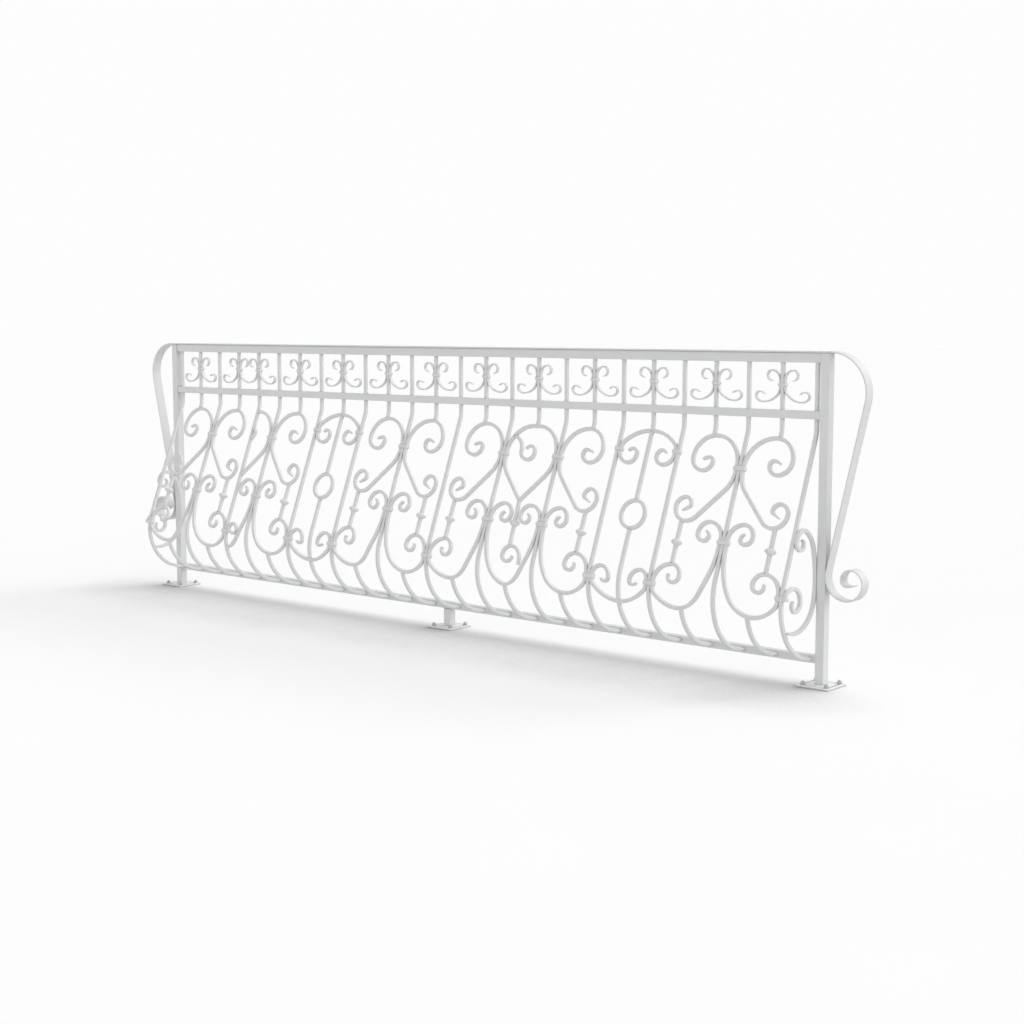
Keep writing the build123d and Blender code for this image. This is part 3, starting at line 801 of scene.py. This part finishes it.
# Frieze scrolls and their collars
frieze_scroll_iron = Iron()
frieze_collar_iron = Iron()
toward_front = Vector((0, -1, 0))
for number in frieze_places:
    x = bar_x(number)
    for hand in (-1, 1):
        down = frieze_down
        shares = (tip_share, tip_share)
        if number == shared_frieze_pair[0 if hand > 0 else 1]:
            down = half_frieze_down
            shares = (full_share, tip_share)
        points = both_ways((half_bar + thin_bar / 2, frieze_collar_height), quarter, frieze_up, down)
        path = flat_path(points, lambda u, v: Vector((x + hand * u, 0, v)), toward_front)
        frieze_scroll_iron.bar(path, thin_bar / 2, half_bar, thin_round, shares)
    heights = [frieze_collar_height + share * frieze_band_height for share in collar_rows]
    rows = [(Vector((x, 0, height)), toward_front) for height in heights]
    band(frieze_collar_iron, rows, half_bar + thin_bar + collar_wall, half_bar + collar_wall)
frieze_scroll_iron.piece("forged_frieze_scrolls", white_paint, ["frieze_scrolls"])
frieze_collar_iron.piece("forged_frieze_collars", white_paint, ["frieze_collars"])

# Scrolls that close each end, and the cap's ends that turn down into a volute
side_x = middle("right_side_scroll", X)
side_up = list(zip(side_up_radii, side_up_turns))
side_down = list(zip(side_down_radii, side_down_turns))
long_points = both_ways((-side_run_offset, side_run_height), quarter, side_up, side_down)
collar_past = max(0.0, lower_collar_drop - lean_length)
collar_heading = quarter - lean_turn + degrees(asin(collar_past / belly_radius))
collar_place = on_slope(0.0, lower_collar_drop)[0]
side_curl = [collar_run, (side_neck_radii[0], -side_neck_turn)]
side_curl += [(side_neck_radii[1], side_neck_turn - collar_heading)]
side_curl += quarters(side_curl_radii, -quarter) + [(lyre_tip_radius, -tip_turn)]
curl_points = both_ways((collar_place.y, collar_place.z), collar_heading, side_curl, [collar_run])
return_angle = radians(strip_return_turn)
half_strip = cap_thickness / 2
shoulder_reach = strip_lead + strip_shoulder_radius * cos(return_angle)
touch_reach = half_strip + volute_radii[0] * (1 - cos(return_angle))
return_length = (shoulder_reach - touch_reach) / sin(return_angle)
strip_moves = [(strip_lead, 0), (strip_shoulder_radius, -quarter - strip_return_turn)]
strip_moves += [(return_length, 0), (volute_radii[0], strip_return_turn)]
strip_moves += quarters(volute_radii, quarter) + [(volute_tip_radius, volute_tip_turn)]
strip_points = path_of((post_outer, guard_height - half_strip), 0, strip_moves)
for name, hand in (("left", -1), ("right", 1)):
    iron = Iron()
    for points, ends in ((long_points, (tip_share, tip_share)), (curl_points, (full_share, tip_share))):
        path = flat_path(points, lambda u, v: Vector((hand * side_x, u, v)), Vector((1, 0, 0)))
        iron.bar(path, half_bar, half_bar, edge_round, ends)
    iron.piece(f"forged_{name}_side_scroll", white_paint, [name + "_side_scroll"])
    iron = Iron()
    path = flat_path(strip_points, lambda u, v: Vector((hand * u, 0, v)), toward_front)
    iron.bar(path, half_strip, cap_width / 2, tube_round, (full_share, tip_share))
    iron.piece(f"forged_{name}_end_scroll", white_paint, [name + "_end_scroll"])


# Welds where bars meet rails and posts meet plates
def weld_skirt(iron, point, away, facing, half_side, half_facing):
    """Uneven fillet round a bar where it leaves a face."""
    first = len(iron.points)
    path = []
    sizes = []
    for step in range(corner_steps + 2):
        angle = radians(quarter * step / (corner_steps + 1))
        path.append((point + away * weld_leg * (1 - cos(angle)), facing))
        grow = weld_leg * (1 - sin(angle))
        sizes.append((half_side + grow, half_facing + grow))
    iron.sweep(path, sizes, edge_round + weld_leg)
    iron.roughen(first)


weld_iron = Iron()
up = Vector((0, 0, 1))
along_rail = Vector((1, 0, 0))
for number in range(bay_count + 1):
    x = bar_x(number)
    weld_skirt(weld_iron, Vector((x, 0, mid_rail_under)), -up, toward_front, half_bar, half_bar)
    weld_skirt(weld_iron, Vector((x, 0, top_rail_under)), -up, toward_front, half_bar, half_bar)
    weld_skirt(weld_iron, Vector((x, 0, mid_rail_top)), up, toward_front, half_bar, half_bar)
    foot = Vector((x, -rail_size / 2, bottom_rail_centre))
    weld_skirt(weld_iron, foot, toward_front, along_rail, half_bar * foot_share, half_bar)
half_post = post_size / 2
for node in ("left_post", "centre_leg", "right_post"):
    foot = Vector((middle(node, X), 0, plate_top))
    weld_skirt(weld_iron, foot, up, toward_front, half_post, half_post)
weld_iron.piece("welds", weld_paint)


# Bolts through the base plates
def turned(iron, x, y, rise, height, radius, sides, spin):
    """Upright prism with a chamfered top; spin turns its corners."""
    chamfer = washer_height / 2
    first = len(iron.points)
    rows = ((radius, 0.0), (radius, height - chamfer), (radius - chamfer, height))
    for reach, level in rows:
        for side in range(sides):
            angle = spin + 2 * pi * side / sides
            iron.points.append(Vector((x + reach * cos(angle), y + reach * sin(angle), rise + level)))
    for row in range(len(rows) - 1):
        for side in range(sides):
            low = first + row * sides
            after = (side + 1) % sides
            iron.faces.append((low + side, low + after, low + sides + after, low + sides + side))
    top = first + (len(rows) - 1) * sides
    iron.faces.append(tuple(range(top, top + sides)))


def bolt(iron, x, y):
    """Washer, six-sided nut and stud end on a plate."""
    turned(iron, x, y, plate_top, washer_height, washer_radius, round_sides, 0.0)
    turned(iron, x, y, plate_top + washer_height, nut_height, nut_radius, nut_sides, (x + y) / bar)
    stud_start = plate_top + washer_height + nut_height
    turned(iron, x, y, stud_start, stud_height, stud_radius, round_sides, 0.0)


for name in ("left", "centre", "right"):
    iron = Iron()
    for x_sign in (-1, 1):
        for y_sign in (-1, 1):
            x = middle(name + "_base_plate", X) + x_sign * bolt_spacing / 2
            bolt(iron, x, y_sign * bolt_spacing / 2)
    item = iron.piece(name + "_plate_bolts", bolt_paint)
    item.data.polygons.foreach_set("use_smooth", [False] * len(item.data.polygons))


# Floor: a painted shade close to the rail, from how far the iron shelters it toward the soft box
floor_half = 60.0
floor_tones = ((0.83, 0.83, 0.83), (0.85, 0.85, 0.85))
floor_noise = (2.0, 3.0)
floor_bounce = (0.72, 0.72, 0.72)
floor_lift = 0.182
floor_roughness = 0.9
shade_colour = (0.08, 0.08, 0.082)
shade_share = 1.9
shade_reach = 0.42
shade_samples = 8
toward_box = (0.3, 0.85, 0.45)
white = (1.0, 1.0, 1.0, opaque)


def floor_material():
    """Plain pale floor, a touch uneven so that it is no flat colour, with a soft painted shade close to the
    rail.
    """
    material = bpy.data.materials.new("pale_floor")
    material.use_nodes = True
    tree = material.node_tree
    shader = tree.nodes["Principled BSDF"]
    place = tree.nodes.new("ShaderNodeTexCoord")
    cloud = noise_texture(tree, place, *floor_noise)
    tone = mixed(tree, cloud, "Fac", *floor_tones)
    way = tree.nodes.new("ShaderNodeCombineXYZ")
    for axis, share in zip("XYZ", toward_box):
        way.inputs[axis].default_value = share
    shelter = tree.nodes.new("ShaderNodeAmbientOcclusion")
    shelter.inputs["Distance"].default_value = shade_reach
    shelter.samples = shade_samples
    link(tree, way, "Vector", shelter, "Normal")
    # Painted shade: the floor's colour darkens where iron closes off the way toward the soft box
    shade = ranged(tree, shelter, "AO", shade_share, 0.0)
    shaded = mixed(tree, shade, "Result", tone, shade_colour)
    seen = seen_rays(tree)
    colour = mixed(tree, seen, "Value", floor_bounce, shaded)
    link(tree, colour, mix_colour_out, shader, "Base Color")
    lift = ranged(tree, seen, "Value", 0.0, floor_lift)
    link(tree, lift, "Result", shader, "Emission Strength")
    shader.inputs["Emission Color"].default_value = white
    shader.inputs["Roughness"].default_value = floor_roughness
    shader.inputs["Specular IOR Level"].default_value = 0.0
    return material


mesh = bpy.data.meshes.new("floor")
corners = [(-1, -1), (1, -1), (1, 1), (-1, 1)]
mesh.from_pydata([(x * floor_half, y * floor_half, 0.0) for x, y in corners], [], [(0, 1, 2, 3)])
mesh.materials.append(floor_material())
floor = bpy.data.objects.new("floor", mesh)
bpy.context.scene.collection.objects.link(floor)

# Studio: a long soft box high behind that reaches far to the right, low fill from the front and a weak sun
box_lean = 2.2
box_core = 0.02
box_edge = 4.1
box_foot = 0.42
box_left = -0.95
box_strength = 1.4
fill_strength = 1.5
fill_above = 0.2
fill_height = 0.73
fill_front = -0.54
fill_behind = 0.02
background = 0.985
sun_strength = 0.65
sun_spread = 22.0
sun_way = Vector((0.5, 1.0, 1.0))

world = bpy.data.worlds.new("studio")
bpy.context.scene.world = world
world.use_nodes = True
tree = world.node_tree
sky = tree.nodes["Background"]
place = tree.nodes.new("ShaderNodeTexCoord")
way = tree.nodes.new("ShaderNodeSeparateXYZ")
link(tree, place, "Generated", way, "Vector")
back = scaled(tree, way, "Y", box_lean)
high = scaled(tree, way, "Z", box_lean)
off_box = sum_of(tree, "SUBTRACT", way, "Z", back, "Value")
off_box_size = sum_of(tree, "MULTIPLY", off_box, "Value", off_box, "Value")
along_box = sum_of(tree, "ADD", way, "Y", high, "Value")
thick = stepped(tree, off_box_size, "Value", 1.0, 0.0, box_core, box_edge)
ahead = stepped(tree, along_box, "Value", 0.0, 1.0, 0.0, box_foot)
wide = stepped(tree, way, "X", 0.0, box_strength, box_left, 0.0)
box = sum_of(tree, "MULTIPLY", thick, "Result", ahead, "Result")
box = sum_of(tree, "MULTIPLY", box, "Value", wide, "Result")
low = stepped(tree, way, "Z", fill_strength, fill_above, 0.0, fill_height)
front = stepped(tree, way, "Y", 1.0, fill_behind, fill_front, 0.0)
fill = sum_of(tree, "MULTIPLY", low, "Result", front, "Result")
light = sum_of(tree, "ADD", box, "Value", fill, "Value")
seen = seen_rays(tree)
level = tree.nodes.new("ShaderNodeMix")
link(tree, seen, "Value", level, 0)
link(tree, light, "Value", level, mix_values[0])
level.inputs[mix_values[1]].default_value = background
link(tree, level, 0, sky, "Strength")
sky.inputs["Color"].default_value = white

sun = bpy.data.lights.new("key", "SUN")
sun.energy = sun_strength
sun.angle = radians(sun_spread)
key = bpy.data.objects.new("key", sun)
key.rotation_euler = sun_way.to_track_quat("Z", "Y").to_euler()
bpy.context.scene.collection.objects.link(key)

# Camera, fitted to the rail's even bars: millimetres for the lens, degrees for the turns
camera_place = (4.0656, -4.4069, 1.0967)
camera_dip = 6.449
camera_turn = 40.53
lens_length = 58.87
sensor_width = 36.0
lens = bpy.data.cameras.new("camera")
lens.sensor_width = sensor_width
lens.lens = lens_length
camera = bpy.data.objects.new("camera", lens)
camera.location = camera_place
camera.rotation_euler = (radians(quarter - camera_dip), 0.0, radians(camera_turn))
bpy.context.scene.collection.objects.link(camera)
bpy.context.scene.camera = camera
bpy.context.scene.view_settings.view_transform = "Standard"
